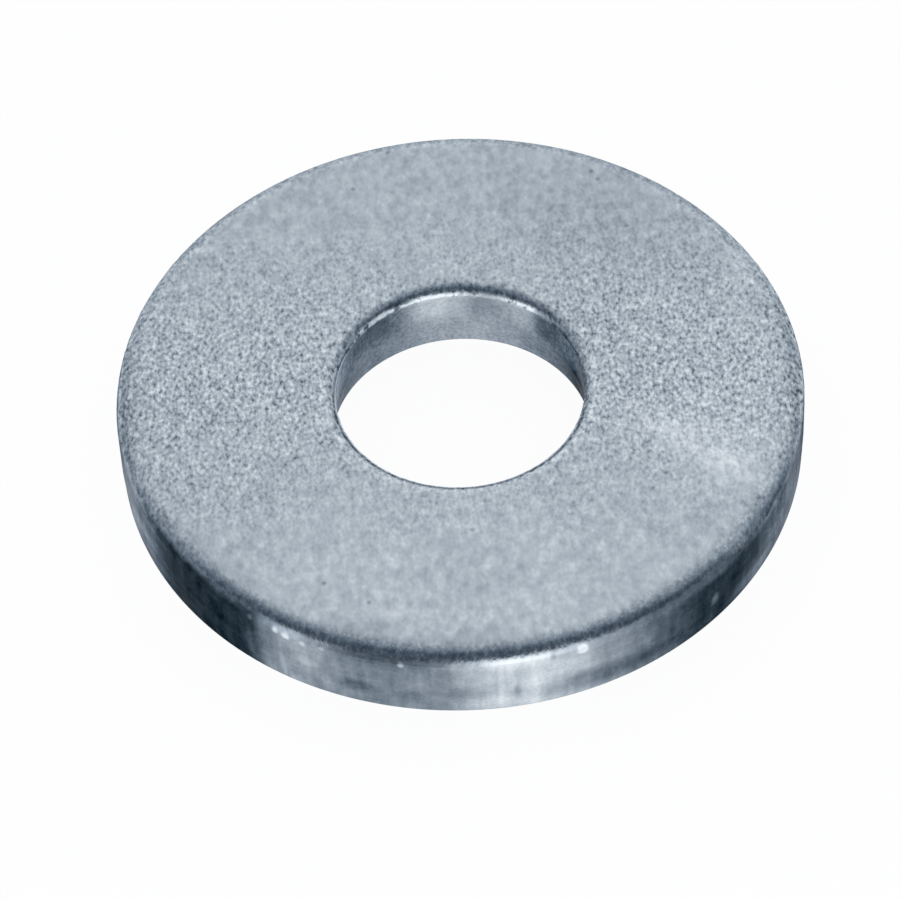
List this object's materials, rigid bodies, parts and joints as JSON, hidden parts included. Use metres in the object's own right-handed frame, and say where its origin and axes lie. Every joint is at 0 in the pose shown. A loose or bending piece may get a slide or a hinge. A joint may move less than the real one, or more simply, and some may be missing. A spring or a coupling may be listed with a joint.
{
  "type": "fender washer",
  "caption": "Heavy flat steel washer with a small plain bore and a wide bearing face, blanked from thick plate, for spreading a bolt's load.",
  "frame": {"origin": "centre of the bore on the underside, where the washer rests", "axes": "+Z along the bore axis, out of the top face, which has the rolled edges; X and Y are any two directions across the washer, because it is round"},
  "size_m": [0.024, 0.024, 0.003],
  "materials": {
    "zinc_steel": "satin"
  },
  "bodies": {
    "root": {"washer": "zinc_steel"}
  },
  "joints": []
}
